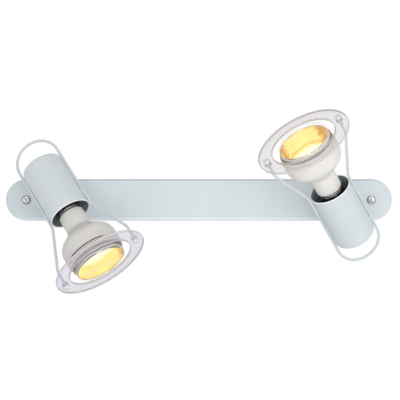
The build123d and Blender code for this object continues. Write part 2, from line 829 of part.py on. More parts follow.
# Clear ring: turned acrylic plate with polished edges
with BuildPart() as clear_ring:
    with BuildSketch(Plane.XY.offset(ring_at - ring_sheet / 2)):
        Circle(ring_diameter / 2)
        Circle(ring_bore / 2, mode=Mode.SUBTRACT)
    extrude(amount=ring_sheet)
    fillet(clear_ring.edges(), ring_edge_round)
    with BuildSketch(Plane.XY.offset(ring_at - ring_sheet / 2)):
        with GridLocations(0, 2 * ring_hole_radius, 1, 2):
            Circle(ring_hole / 2)
    extrude(amount=ring_sheet, mode=Mode.SUBTRACT)

# Ring grommets: soft caps pushed over the wire's ends, with a groove that grips the ring
with BuildPart() as ring_grommets:
    ring_front = ring_at + ring_sheet / 2 + seat_gap
    ring_back = ring_at - ring_sheet / 2 - seat_gap
    with BuildSketch(Plane.XY.offset(ring_front)):
        with GridLocations(0, 2 * ring_hole_radius, 1, 2):
            Circle(grommet_head / 2)
    extrude(amount=grommet_head_height)
    fillet(ring_grommets.edges().group_by(Axis.Z)[-1], grommet_head / 3)
    with BuildSketch(Plane.XY.offset(ring_back)):
        with GridLocations(0, 2 * ring_hole_radius, 1, 2):
            Circle(grommet_head / 2)
    extrude(amount=-grommet_back_height)
    with BuildSketch(Plane.XY.offset(ring_back)):
        with GridLocations(0, 2 * ring_hole_radius, 1, 2):
            Circle(ring_hole / 2 - seat_gap)
    extrude(amount=ring_front - ring_back)
    with BuildSketch(Plane.XY.offset(ring_back - grommet_back_height)):
        with GridLocations(0, 2 * ring_hole_radius, 1, 2):
            Circle(wire_radius + seat_gap)
    extrude(amount=wire_end_at + seat_gap - ring_back + grommet_back_height, mode=Mode.SUBTRACT)

head_pieces = {
    "knuckle": knuckle,
    "can": can,
    "can_nut": can_nut,
    "holder_bracket": holder_bracket,
    "holder_body": holder_body,
    "holder_shell": holder_shell,
    "holder_contact": holder_contact,
    "holder_screws": holder_screws,
    "head_leads": head_leads,
    "wire_frame": wire_frame,
    "clear_ring": clear_ring,
    "ring_grommets": ring_grommets,
}


# ---------------------------------------------------------------- lamp, in the head's frame

# Lamp cap: plated sleeve with a rounded thread, crimped in the lamp's neck
cap_back = -cap_collar - thread_turns * thread_pitch
with BuildPart() as lamp_cap:
    with BuildSketch(Plane.XZ):
        with BuildLine():
            thread_line(thread_mid, -cap_collar, thread_turns)
            cap_inside = cap_radius - thread_depth - cap_wall
            Polyline(
                (thread_mid, cap_back),
                (cap_inside, cap_back),
                (cap_inside, cap_tuck),
                (thread_mid, cap_tuck),
                (thread_mid, -cap_collar),
            )
        make_face()
    revolve(axis=Axis.Z)

# Cap contact: black glass plug that closes the cap, with the solder contact in its middle
with BuildPart() as cap_contact:
    with BuildSketch(Plane.XY.offset(cap_back)):
        Circle(cap_inside - seat_gap)
    extrude(amount=insulator_tuck)
    with BuildSketch(Plane.XY.offset(cap_back)):
        Circle(cap_inside)
    with BuildSketch(Plane.XY.offset(cap_back - insulator_length)):
        Circle(contact_radius)
    loft()
    with BuildSketch(Plane.XY.offset(cap_back - insulator_length)):
        Circle(contact_radius)
    extrude(amount=-contact_length)
    fillet(cap_contact.edges().sort_by(Axis.Z)[0], contact_length * 0.8)

# Lamp shell: white-enamelled neck and shoulder
with BuildPart() as lamp_shell:
    with BuildSketch(Plane.XZ):
        with BuildLine():
            FilletPolyline(
                (neck_radius - neck_bevel, seat_gap),
                (neck_radius, neck_bevel),
                (neck_radius, neck_length),
                (shell_radius, shoulder_at),
                (shell_radius, shell_rim_at),
                radius=[neck_bevel / 2, neck_hollow, shoulder_round],
            )
            Polyline(
                (shell_radius, shell_rim_at),
                (0, shell_rim_at),
                (0, seat_gap),
                (neck_radius - neck_bevel, seat_gap),
            )
        make_face()
    revolve(axis=Axis.Z)
    offset(amount=-shell_sheet, openings=lamp_shell.faces().sort_by(Axis.Z)[-1])
    with BuildSketch(Plane.XY):
        Circle(thread_mid + seat_gap)
    extrude(amount=cap_tuck, mode=Mode.SUBTRACT)

# Lamp glass: blown envelope from the tube in the neck to the shallow dome of the front
with BuildPart() as lamp_glass:
    glass_in_shell = shell_radius - shell_sheet - loose_gap
    with BuildSketch(Plane.XZ):
        with BuildLine():
            FilletPolyline(
                (glass_tube_radius, glass_tube_start),
                (glass_tube_radius, glass_tube_end),
                (glass_in_shell, glass_cone_end),
                (glass_in_shell, shell_rim_at + loose_gap),
                (glass_rim_radius, shell_rim_at + 2 * loose_gap),
                (glass_rim_radius, shell_rim_at + 2 * loose_gap + glass_lip),
                (glass_front_radius, glass_front_at),
                (glass_front_radius - 2 * glass_front_round, glass_front_at + glass_front_round),
                radius=[glass_tube_radius, shoulder_round, *glass_lip_rounds, glass_front_round],
            )
            dome_line(
                glass_front_radius - 2 * glass_front_round, glass_front_at + glass_front_round, lamp_front_at
            )
            Polyline((0, lamp_front_at), (0, glass_tube_start), (glass_tube_radius, glass_tube_start))
        make_face()
    revolve(axis=Axis.Z)
    offset(amount=-glass_wall, openings=lamp_glass.faces().sort_by(Axis.Z)[0])

# Lamp stem: glass rod that carries the filament, sealed in the tube
with BuildPart() as lamp_stem:
    with BuildSketch(Plane.XY.offset(glass_tube_start)):
        Circle(glass_tube_radius - glass_wall - loose_gap)
    extrude(amount=glass_wall)
    with BuildSketch(Plane.XY.offset(glass_tube_start + glass_wall)):
        Circle(stem_radius)
    extrude(amount=stem_top_at - glass_tube_start - glass_wall)
    fillet(lamp_stem.edges().sort_by(Axis.Z)[-1], stem_radius / 2)

# Filament: coiled wire in an open arc, on the two wires that feed it
half_arc = radians(filament_arc / 2)
arc_end = (filament_radius * cos(half_arc), filament_radius * sin(half_arc), filament_at)
with BuildPart() as filament:
    with BuildLine() as coil_line:
        ThreePointArc(arc_end, (filament_radius, 0, filament_at), (arc_end[0], -arc_end[1], filament_at))
    with BuildSketch(Plane(origin=coil_line.line @ 0, z_dir=coil_line.line % 0)):
        Circle(filament_coil / 2)
    sweep()
    for way in (-1, 1):
        with BuildLine() as feed_line:
            foot = (0, way * stem_radius / 2, stem_top_at + loose_gap)
            Line(foot, (arc_end[0], way * arc_end[1], filament_at))
        with BuildSketch(Plane(origin=feed_line.line @ 0, z_dir=feed_line.line % 0)):
            Circle(filament_wire / 2)
        sweep(path=feed_line.line)

lamp_pieces = {
    "lamp_cap": lamp_cap,
    "cap_contact": cap_contact,
    "lamp_shell": lamp_shell,
    "lamp_glass": lamp_glass,
    "lamp_stem": lamp_stem,
    "filament": filament,
}


# ---------------------------------------------------------------- both heads, placed on the bar

for side, pose in poses.items():
    swivel, tilt = radians(pose["swivel"]), radians(pose["tilt"])
    along = Vector(cos(swivel), 0, sin(swivel))
    out = Vector(0, -1, 0)
    aim = along * cos(tilt) + out * sin(tilt)
    away = out * cos(tilt) - along * sin(tilt)
    arm_foot = Vector(pose["x"], -bar_depth, 0)
    mouth = arm_foot + out * pivot_height + away * hinge_to_can_axis + aim * hinge_behind_mouth
    arm_plane = Plane(origin=arm_foot, x_dir=along, z_dir=out)
    head_plane = Plane(origin=mouth, x_dir=away, z_dir=aim)
    for name, piece in arm_pieces.items():
        save_placed(f"{side}_{name}", piece, arm_plane)
    for name, piece in (head_pieces | lamp_pieces).items():
        save_placed(f"{side}_{name}", piece, head_plane)
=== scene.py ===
import json
from math import cos, pi, radians, sin

import bpy
from mathutils import Matrix, Vector


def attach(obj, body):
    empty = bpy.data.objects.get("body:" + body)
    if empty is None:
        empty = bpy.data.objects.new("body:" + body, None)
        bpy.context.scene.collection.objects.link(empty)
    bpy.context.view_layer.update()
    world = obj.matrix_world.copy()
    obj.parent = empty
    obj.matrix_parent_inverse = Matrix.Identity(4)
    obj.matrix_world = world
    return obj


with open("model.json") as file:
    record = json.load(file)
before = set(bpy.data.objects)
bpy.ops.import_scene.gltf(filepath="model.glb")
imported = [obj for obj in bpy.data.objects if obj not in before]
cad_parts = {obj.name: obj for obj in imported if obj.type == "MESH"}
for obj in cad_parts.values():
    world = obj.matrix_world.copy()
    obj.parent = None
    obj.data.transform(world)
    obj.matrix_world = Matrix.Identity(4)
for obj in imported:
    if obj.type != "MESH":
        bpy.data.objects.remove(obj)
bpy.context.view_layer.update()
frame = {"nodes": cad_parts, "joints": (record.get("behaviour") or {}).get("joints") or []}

# Wall light with two pivoting spot heads. Metres; X along the bar, Z up, the wall behind it at y = 0.


# ------------------------------------------------------------------ wall strap
# The strap is a flat strip of steel, 1.5 mm thick and zinc plated, screwed to the wall. Two turned posts
# are riveted into it for the cover's screws. Fresh zinc is a cool grey metal with a fine, broken grain.

def colour(code):
    """An sRGB hex colour as linear red, green, blue and alpha."""
    parts = [int(code[i:i + 2], 16) / 255 for i in (1, 3, 5)]
    return [c / 12.92 if c <= 0.04045 else ((c + 0.055) / 1.055) ** 2.4 for c in parts] + [1.0]


def add_node(material, kind, settings=None, links=None):
    """A shader node. Settings are its sockets or properties by name or number, links are outputs to sockets.

    On a colour mix, sockets 6 and 7 take the two colours and output 2 gives the result.
    """
    made = material.node_tree.nodes.new("ShaderNode" + kind)
    for name, value in (settings or {}).items():
        if isinstance(name, int) or name in made.inputs:
            made.inputs[name].default_value = value
        else:
            setattr(made, name, value)
    for name, output in (links or {}).items():
        material.node_tree.links.new(output, made.inputs[name])
    return made


def new_material(name):
    """An empty material and the output of its object coordinates, which are metres."""
    material = bpy.data.materials.new(name)
    material.use_nodes = True
    material.node_tree.nodes.clear()
    return material, add_node(material, "TexCoord").outputs["Object"]


def close_material(material, surface):
    """Joins a finished shader to the material's output."""
    add_node(material, "OutputMaterial", links={"Surface": surface})


def cycles(millimetres):
    """Scale of a noise or cell pattern, from the size of one grain."""
    return 1000 / millimetres


def finish_nodes(material, *names):
    """Gives CAD pieces their finish."""
    for name in names:
        slots = frame["nodes"][name].data.materials
        slots.clear()
        slots.append(material)


def both(*pieces):
    """Names of the pieces that each head has."""
    return [f"{side}_{piece}" for side in ("left", "right") for piece in pieces]


zinc, place = new_material("zinc_plated_steel")
zinc_grain = add_node(zinc, "TexVoronoi", {"Scale": cycles(1.6)}, {"Vector": place})
zinc_cloud = add_node(zinc, "TexNoise", {"Scale": cycles(9.0), "Detail": 4.0}, {"Vector": place})
zinc_tone = add_node(
    zinc, "Mix",
    {"data_type": "RGBA", 6: colour("#a9adaf"), 7: colour("#c6c9c9")},
    {"Factor": zinc_grain.outputs["Color"]},
)
zinc_rough = add_node(
    zinc, "MapRange", {"To Min": 0.28, "To Max": 0.46}, {"Value": zinc_cloud.outputs["Fac"]},
)
zinc_bump = add_node(
    zinc, "Bump", {"Strength": 0.2, "Distance": 0.00002}, {"Height": zinc_cloud.outputs["Fac"]},
)
zinc_surface = add_node(
    zinc, "BsdfPrincipled", {"Metallic": 1.0},
    {"Base Color": zinc_tone.outputs[2], "Roughness": zinc_rough.outputs[0], "Normal": zinc_bump.outputs[0]},
)
close_material(zinc, zinc_surface.outputs[0])
finish_nodes(zinc, "wall_strap", "cover_posts")


# ------------------------------------------------------------------ cable grommet
# A black rubber sleeve pressed through the strap, where the mains cable comes out of the wall. Moulded
# rubber is matt, a little dusty, and its skin has a fine grain.

rubber, place = new_material("moulded_rubber")
rubber_grain = add_node(rubber, "TexNoise", {"Scale": cycles(0.7), "Detail": 3.0}, {"Vector": place})
rubber_tone = add_node(
    rubber, "Mix",
    {"data_type": "RGBA", 6: colour("#1a1a1b"), 7: colour("#2a2a2a")},
    {"Factor": rubber_grain.outputs["Fac"]},
)
rubber_bump = add_node(
    rubber, "Bump", {"Strength": 0.4, "Distance": 0.00004}, {"Height": rubber_grain.outputs["Fac"]},
)
rubber_surface = add_node(
    rubber, "BsdfPrincipled", {"Roughness": 0.78, "IOR": 1.52},
    {"Base Color": rubber_tone.outputs[2], "Normal": rubber_bump.outputs[0]},
)
close_material(rubber, rubber_surface.outputs[0])
finish_nodes(rubber, "cable_grommet")


# ------------------------------------------------------------------ terminal block
# A white nylon block with brass tubes and zinc plated grub screws takes the mains and the wires to both
# heads. Moulded nylon is slightly waxy.

nylon, place = new_material("moulded_nylon")
nylon_cloud = add_node(nylon, "TexNoise", {"Scale": cycles(4.0), "Detail": 2.0}, {"Vector": place})
nylon_tone = add_node(
    nylon, "Mix",
    {"data_type": "RGBA", 6: colour("#dedcd3"), 7: colour("#ebe9e2")}, {"Factor": nylon_cloud.outputs["Fac"]},
)
nylon_bump = add_node(
    nylon, "Bump", {"Strength": 0.15, "Distance": 0.00003}, {"Height": nylon_cloud.outputs["Fac"]},
)
nylon_surface = add_node(
    nylon, "BsdfPrincipled",
    {"Roughness": 0.42, "IOR": 1.53, "Subsurface Weight": 0.15, "Subsurface Scale": 0.001},
    {"Base Color": nylon_tone.outputs[2], "Normal": nylon_bump.outputs[0]},
)
close_material(nylon, nylon_surface.outputs[0])
finish_nodes(nylon, "terminal_block")
finish_nodes(zinc, "terminal_screws")

brass, place = new_material("bright_brass")
brass_stain = add_node(brass, "TexNoise", {"Scale": cycles(3.0), "Detail": 5.0}, {"Vector": place})
brass_tone = add_node(
    brass, "Mix",
    {"data_type": "RGBA", 6: colour("#b8924c"), 7: colour("#d6b36c")}, {"Factor": brass_stain.outputs["Fac"]},
)
brass_rough = add_node(
    brass, "MapRange", {"To Min": 0.18, "To Max": 0.34}, {"Value": brass_stain.outputs["Fac"]},
)
brass_surface = add_node(
    brass, "BsdfPrincipled", {"Metallic": 1.0},
    {"Base Color": brass_tone.outputs[2], "Roughness": brass_rough.outputs[0]},
)
close_material(brass, brass_surface.outputs[0])
finish_nodes(brass, "terminal_tubes", "earth_screw")


# ------------------------------------------------------------------ wires
# Single cores in a heat-proof sleeve run from the block to the swivels, and on from each can's stub to its
# lampholder. The sleeve is woven glass fibre in silicone: off-white, soft and slightly uneven.

sleeve, place = new_material("glass_fibre_sleeve")
sleeve_weave = add_node(sleeve, "TexVoronoi", {"Scale": cycles(0.6)}, {"Vector": place})
sleeve_tone = add_node(
    sleeve, "Mix",
    {"data_type": "RGBA", 6: colour("#e4dfd2"), 7: colour("#c9c3b4")},
    {"Factor": sleeve_weave.outputs["Distance"]},
)
sleeve_bump = add_node(
    sleeve, "Bump", {"Strength": 0.5, "Distance": 0.00006, "invert": True},
    {"Height": sleeve_weave.outputs["Distance"]},
)
sleeve_surface = add_node(
    sleeve, "BsdfPrincipled", {"Roughness": 0.55, "IOR": 1.45},
    {"Base Color": sleeve_tone.outputs[2], "Normal": sleeve_bump.outputs[0]},
)
close_material(sleeve, sleeve_surface.outputs[0])
finish_nodes(sleeve, "bar_leads", *both("head_leads"))


# ------------------------------------------------------------------ bar cover
# A pressed steel pan with round ends, stoved in a satin paint of pale blue-grey white. Sprayed paint has
# a faint orange-peel skin, clouds a little in tone, and holds a rare dark speck of dust. The top fold is
# darkened with painted shade and the bottom fold lightened with painted light.

paint_pale, paint_deep, dust = colour("#dae2e6"), colour("#d2dadf"), colour("#9aa5aa")


def paint_shader(material, place):
    """The satin paint's shader; the bar, cans, arms, knuckles and wire frames share it."""
    cloud = add_node(material, "TexNoise", {"Scale": cycles(55.0), "Detail": 2.0}, {"Vector": place})
    peel = add_node(material, "TexNoise", {"Scale": cycles(1.4), "Detail": 2.0}, {"Vector": place})
    speck = add_node(material, "TexVoronoi", {"Scale": cycles(24.0)}, {"Vector": place})
    tone = add_node(
        material, "Mix",
        {"data_type": "RGBA", 6: paint_deep, 7: paint_pale}, {"Factor": cloud.outputs["Fac"]},
    )
    speck_here = add_node(
        material, "MapRange", {"From Min": 0.012, "From Max": 0.03, "To Min": 0.6, "To Max": 0.0},
        {"Value": speck.outputs["Distance"]},
    )
    painted = add_node(
        material, "Mix", {"data_type": "RGBA", 7: dust},
        {"Factor": speck_here.outputs[0], 6: tone.outputs[2]},
    )
    rough = add_node(
        material, "MapRange", {"To Min": 0.34, "To Max": 0.46}, {"Value": peel.outputs["Fac"]},
    )
    bump = add_node(
        material, "Bump", {"Strength": 0.12, "Distance": 0.00003}, {"Height": peel.outputs["Fac"]},
    )
    return add_node(
        material, "BsdfPrincipled", {"IOR": 1.5},
        {"Base Color": painted.outputs[2], "Roughness": rough.outputs[0], "Normal": bump.outputs[0]},
    )


def repaint(material, shader, tone, share):
    """Puts another tone over the paint where share is 1."""
    mixed = add_node(
        material, "Mix", {"data_type": "RGBA", 7: colour(tone)},
        {"Factor": share, 6: shader.inputs["Base Color"].links[0].from_socket},
    )
    material.node_tree.links.new(mixed.outputs[2], shader.inputs["Base Color"])


top_fold, low_fold_from, low_fold_to = 0.0286, -0.0252, -0.0286
fold_blend = 0.0006

bar_paint, place = new_material("satin_stoved_paint_with_painted_fold_light")
bar_shader = paint_shader(bar_paint, place)
bar_height = add_node(bar_paint, "SeparateXYZ", links={0: place}).outputs["Z"]
top_fold_painted_shade = add_node(
    bar_paint, "MapRange", {"From Min": top_fold - fold_blend, "From Max": top_fold, "To Max": 0.75},
    {"Value": bar_height},
)
above_low_edge = add_node(
    bar_paint, "MapRange", {"From Min": low_fold_to - fold_blend, "From Max": low_fold_to},
    {"Value": bar_height},
)
below_face = add_node(
    bar_paint, "MapRange", {"From Min": low_fold_from, "From Max": low_fold_from - 3 * fold_blend},
    {"Value": bar_height},
)
low_fold_painted_light = add_node(
    bar_paint, "Math", {"operation": "MULTIPLY"},
    {0: above_low_edge.outputs[0], 1: below_face.outputs[0]},
)
# Painted shade greys the top fold; painted light whitens the bottom fold.
repaint(bar_paint, bar_shader, "#b3bcc0", top_fold_painted_shade.outputs[0])
repaint(bar_paint, bar_shader, "#eaf1f4", low_fold_painted_light.outputs[0])
close_material(bar_paint, bar_shader.outputs[0])
finish_nodes(bar_paint, "bar_cover")


# ------------------------------------------------------------------ cover screws
# Slotted dome-headed screws, turned from steel and nickel plated, hold the cover at its round ends. The
# plating is bright on the dome; painted shade darkens the dome's edge and its slot.

screw_at, dome_radius = 0.25, 0.0062
dome_top, dome_curve = -0.0232, 0.0076
slot_from, slot_to = 0.0003, 0.0006

nickel, place = new_material("bright_nickel_plate")
nickel_stain = add_node(nickel, "TexNoise", {"Scale": cycles(2.5), "Detail": 4.0}, {"Vector": place})
nickel_tone = add_node(
    nickel, "Mix",
    {"data_type": "RGBA", 6: colour("#cdd1d3"), 7: colour("#eef1f2")},
    {"Factor": nickel_stain.outputs["Fac"]},
)
nickel_rough = add_node(
    nickel, "MapRange", {"To Min": 0.16, "To Max": 0.3}, {"Value": nickel_stain.outputs["Fac"]},
)
nickel_surface = add_node(
    nickel, "BsdfPrincipled", {"Metallic": 1.0},
    {"Base Color": nickel_tone.outputs[2], "Roughness": nickel_rough.outputs[0]},
)
close_material(nickel, nickel_surface.outputs[0])

screw_nickel, place = new_material("nickel_plate_with_painted_shade_at_edge_and_slot")
screw_stain = add_node(screw_nickel, "TexNoise", {"Scale": cycles(2.0), "Detail": 3.0}, {"Vector": place})
either_end = add_node(screw_nickel, "VectorMath", {"operation": "ABSOLUTE"}, {0: place})
screw_spot = add_node(
    screw_nickel, "VectorMath", {"operation": "SUBTRACT", 1: (screw_at, 0, 0)}, {0: either_end.outputs[0]},
)
screw_flat = add_node(
    screw_nickel, "VectorMath", {"operation": "MULTIPLY", 1: (1, 0, 1)}, {0: screw_spot.outputs[0]},
)
screw_radius = add_node(screw_nickel, "VectorMath", {"operation": "LENGTH"}, {0: screw_flat.outputs[0]})
# Painted shade: the dome darkens towards its edge.
screw_edge_painted_shade = add_node(
    screw_nickel, "MapRange",
    {"interpolation_type": "SMOOTHSTEP", "From Min": 0.76 * dome_radius, "From Max": 0.9 * dome_radius},
    {"Value": screw_radius.outputs["Value"]},
)
screw_bright = add_node(
    screw_nickel, "Mix",
    {"data_type": "RGBA", 6: colour("#d9dddf"), 7: colour("#f6f8f8")}, {"Factor": screw_stain.outputs["Fac"]},
)
screw_tone = add_node(
    screw_nickel, "Mix", {"data_type": "RGBA", 7: colour("#5f6466")},
    {"Factor": screw_edge_painted_shade.outputs[0], 6: screw_bright.outputs[2]},
)
dome_drop = add_node(
    screw_nickel, "Math", {"operation": "MULTIPLY"},
    {0: screw_radius.outputs["Value"], 1: screw_radius.outputs["Value"]},
)
dome_line = add_node(
    screw_nickel, "Math", {"operation": "MULTIPLY_ADD", 1: 0.5 / dome_curve, 2: dome_top},
    {0: dome_drop.outputs[0]},
)
screw_depth = add_node(screw_nickel, "SeparateXYZ", links={0: place}).outputs["Y"]
below_dome = add_node(
    screw_nickel, "Math", {"operation": "SUBTRACT"}, {0: screw_depth, 1: dome_line.outputs[0]},
)
# Painted shade: the slot is darkened.
slot_painted_shade = add_node(
    screw_nickel, "MapRange", {"From Min": slot_from, "From Max": slot_to}, {"Value": below_dome.outputs[0]},
)
screw_all = add_node(
    screw_nickel, "Mix", {"data_type": "RGBA", 7: colour("#2b2e30")},
    {"Factor": slot_painted_shade.outputs[0], 6: screw_tone.outputs[2]},
)
screw_surface = add_node(
    screw_nickel, "BsdfPrincipled", {"Metallic": 1.0, "Roughness": 0.22},
    {"Base Color": screw_all.outputs[2]},
)
close_material(screw_nickel, screw_surface.outputs[0])
finish_nodes(screw_nickel, "cover_screws")


# ------------------------------------------------------------------ swivels and tilt joints
# Each arm is turned from steel, with a hollow stub through the bar cover and a fork for the can's knuckle,
# both in the bar's paint. A nylon washer, two zinc plated ones and a nut hold the stub, and a nickel
# plated screw and nut clamp the knuckle.

paint, place = new_material("satin_stoved_paint")
close_material(paint, paint_shader(paint, place).outputs[0])
finish_nodes(paint, *both("arm", "knuckle"))
finish_nodes(nylon, *both("pan_washer"))
finish_nodes(zinc, *both("spring_washer", "stop_washer", "lock_nut"))
finish_nodes(nickel, *both("tilt_screw", "tilt_nut"))


# ------------------------------------------------------------------ cans
# Each can is a drawn steel cup, in the bar's satin paint outside and a darker slate coat inside. A painted
# highlight in white runs round its edge. Drawing leaves faint rings down the inner wall.

lining_radius, lining_start, lining_depth = 0.0287, 0.0004, 0.0872
lining_ring_pitch = 1.5
highlight_edge, highlight_edge_blend = 0.0011, 0.0003
joints = {joint["name"]: joint for joint in frame["joints"]}


def head_place(side):
    """Matrix of a head's own frame: origin in the can's mouth, Z along its aim, Y along the tilt axis."""
    screw, tilt = joints[f"{side}_lamp_screw"], joints[f"{side}_tilt"]
    aim, across = Vector(screw["axis"]), Vector(tilt["axis"])
    turn = Matrix((across.cross(aim), across, aim)).transposed()
    return Matrix.Translation(screw["pos_m"]) @ turn.to_4x4()


def round_the_aim(material, place, mouth):
    """A point's distance from a head's axis and its height above the can's mouth, as outputs in metres."""
    aim = mouth.col[2].xyz
    from_mouth = add_node(
        material, "VectorMath", {"operation": "SUBTRACT", 1: mouth.translation}, {0: place},
    ).outputs[0]
    height = add_node(material, "VectorMath", {"operation": "DOT_PRODUCT", 1: aim}, {0: from_mouth})
    sideways = add_node(
        material, "VectorMath", {"operation": "CROSS_PRODUCT", 1: aim}, {0: from_mouth},
    )
    radius = add_node(material, "VectorMath", {"operation": "LENGTH"}, {0: sideways.outputs[0]})
    return radius.outputs["Value"], height.outputs["Value"]


def along_head_axis(material, place, mouth, axis):
    """A point's distance from the can's mouth along an axis of the head's frame, as an output in metres."""
    from_mouth = add_node(material, "VectorMath", {"operation": "SUBTRACT", 1: mouth.translation}, {0: place})
    along = add_node(
        material, "VectorMath", {"operation": "DOT_PRODUCT", 1: mouth.col[axis].xyz},
        {0: from_mouth.outputs[0]},
    )
    return along.outputs["Value"]


for side in ("left", "right"):
    can_paint, place = new_material(f"{side}_can_paint_and_slate_lining")
    radius, height = round_the_aim(can_paint, place, head_place(side))
    outer_paint = paint_shader(can_paint, place)
    painted_highlight_on_edge = add_node(
        can_paint, "MapRange", {"From Min": -highlight_edge - highlight_edge_blend, "From Max": -highlight_edge},
        {"Value": height},
    )
    # Painted highlight: the paint turns white along the can's mouth edge.
    repaint(can_paint, outer_paint, "#fbfdfd", painted_highlight_on_edge.outputs[0])
    inside = add_node(can_paint, "Math", {"operation": "LESS_THAN", 1: lining_radius}, {0: radius})
    below_edge = add_node(can_paint, "Math", {"operation": "LESS_THAN", 1: -lining_start}, {0: height})
    not_the_end = add_node(can_paint, "Math", {"operation": "GREATER_THAN", 1: -lining_depth}, {0: height})
    in_mouth = add_node(
        can_paint, "Math", {"operation": "MULTIPLY"}, {0: inside.outputs[0], 1: below_edge.outputs[0]},
    )
    lined = add_node(
        can_paint, "Math", {"operation": "MULTIPLY"}, {0: in_mouth.outputs[0], 1: not_the_end.outputs[0]},
    )
    ring_turns = add_node(
        can_paint, "Math", {"operation": "MULTIPLY", 1: 2 * pi * cycles(lining_ring_pitch)}, {0: height},
    )
    ring_height = add_node(can_paint, "Math", {"operation": "SINE"}, {0: ring_turns.outputs[0]})
    ring_bump = add_node(
        can_paint, "Bump", {"Strength": 0.5, "Distance": 0.0001}, {"Height": ring_height.outputs[0]},
    )
    lining_cloud = add_node(can_paint, "TexNoise", {"Scale": cycles(6.0)}, {"Vector": place})
    lining_tone = add_node(
        can_paint, "Mix",
        {"data_type": "RGBA", 6: colour("#859196"), 7: colour("#a6b1b6")},
        {"Factor": lining_cloud.outputs["Fac"]},
    )
    lining = add_node(
        can_paint, "BsdfPrincipled", {"Roughness": 0.42, "IOR": 1.5},
        {"Base Color": lining_tone.outputs[2], "Normal": ring_bump.outputs[0]},
    )
    can_surface = add_node(
        can_paint, "MixShader", links={0: lined.outputs[0], 1: outer_paint.outputs[0], 2: lining.outputs[0]},
    )
    close_material(can_paint, can_surface.outputs[0])
    finish_nodes(can_paint, f"{side}_can")


# ------------------------------------------------------------------ wire frames
# One length of steel wire for each head, bent cold and painted like the can. It loops behind the can as a
# handle, runs along both its sides and spreads out to carry the ring.

finish_nodes(paint, *both("wire_frame"))


# ------------------------------------------------------------------ lampholder
# Inside each can a zinc plated bracket, held by a nut on the hollow stub, carries the lampholder. Its body
# is moulded in black thermoset, hard and half glossy. Its brass shell has gone brown-grey from the heat.

finish_nodes(zinc, *both("can_nut", "holder_bracket", "holder_screws"))

thermoset, place = new_material("black_thermoset")
thermoset_flow = add_node(thermoset, "TexNoise", {"Scale": cycles(5.0), "Detail": 3.0}, {"Vector": place})
thermoset_tone = add_node(
    thermoset, "Mix",
    {"data_type": "RGBA", 6: colour("#070708"), 7: colour("#111113")},
    {"Factor": thermoset_flow.outputs["Fac"]},
)
thermoset_rough = add_node(
    thermoset, "MapRange", {"To Min": 0.3, "To Max": 0.45}, {"Value": thermoset_flow.outputs["Fac"]},
)
thermoset_surface = add_node(
    thermoset, "BsdfPrincipled", {"IOR": 1.5, "Specular IOR Level": 0.2},
    {"Base Color": thermoset_tone.outputs[2], "Roughness": thermoset_rough.outputs[0]},
)
close_material(thermoset, thermoset_surface.outputs[0])
finish_nodes(thermoset, *both("holder_body", "cap_contact"))

hot_brass, place = new_material("heat_darkened_brass")
hot_brass_stain = add_node(hot_brass, "TexNoise", {"Scale": cycles(3.0), "Detail": 4.0}, {"Vector": place})
hot_brass_tone = add_node(
    hot_brass, "Mix",
    {"data_type": "RGBA", 6: colour("#7d7470"), 7: colour("#a89e98")},
    {"Factor": hot_brass_stain.outputs["Fac"]},
)
hot_brass_surface = add_node(
    hot_brass, "BsdfPrincipled", {"Metallic": 1.0, "Roughness": 0.38},
    {"Base Color": hot_brass_tone.outputs[2]},
)
close_material(hot_brass, hot_brass_surface.outputs[0])
finish_nodes(hot_brass, *both("holder_shell", "holder_contact"))


# ------------------------------------------------------------------ lamp
# A reflector lamp of 80 mm: a blown glass bulb, coated behind in warm white enamel down to a thin dark
# edge. Then comes a short strip of silvered glass, its streaks painted reflections, and the clear front shows
# the gilt mirror bowl, whose glow is painted light.
# A dark line on the left lamp's enamel is a painted reflection. A dark line on the left lamp's enamel stands
# for the dark arc seen there, which may be a reflection.

# Painted light and shade: the left lamp's enamel is greyer and the right one's paler.
enamel_tones_shaded_left_lit_right = {"left": ("#dcd9d5", "#e5e3e0"), "right": ("#e7e4e0", "#efedea")}
reflection_line_from, reflection_line_to, reflection_line_half_length = 0.0684, 0.0702, 0.028
reflection_line_blend, reflection_line_side_blend = 0.0002, 0.004


def enamel_shader(material, place, side):
    """The enamel's shader: a fine grain on slow clouds, greyer on the left lamp as painted shade and paler on
    the right as painted light.
    """
    deep, pale = enamel_tones_shaded_left_lit_right[side]
    cloud = add_node(material, "TexNoise", {"Scale": cycles(18.0), "Detail": 3.0}, {"Vector": place})
    grain = add_node(material, "TexNoise", {"Scale": cycles(1.1), "Detail": 2.0}, {"Vector": place})
    tone = add_node(
        material, "Mix",
        {"data_type": "RGBA", 6: colour(deep), 7: colour(pale)}, {"Factor": cloud.outputs["Fac"]},
    )
    bump = add_node(
        material, "Bump", {"Strength": 0.12, "Distance": 0.00003}, {"Height": grain.outputs["Fac"]},
    )
    return add_node(
        material, "BsdfPrincipled", {"Roughness": 0.42, "IOR": 1.5},
        {"Base Color": tone.outputs[2], "Normal": bump.outputs[0]},
    )


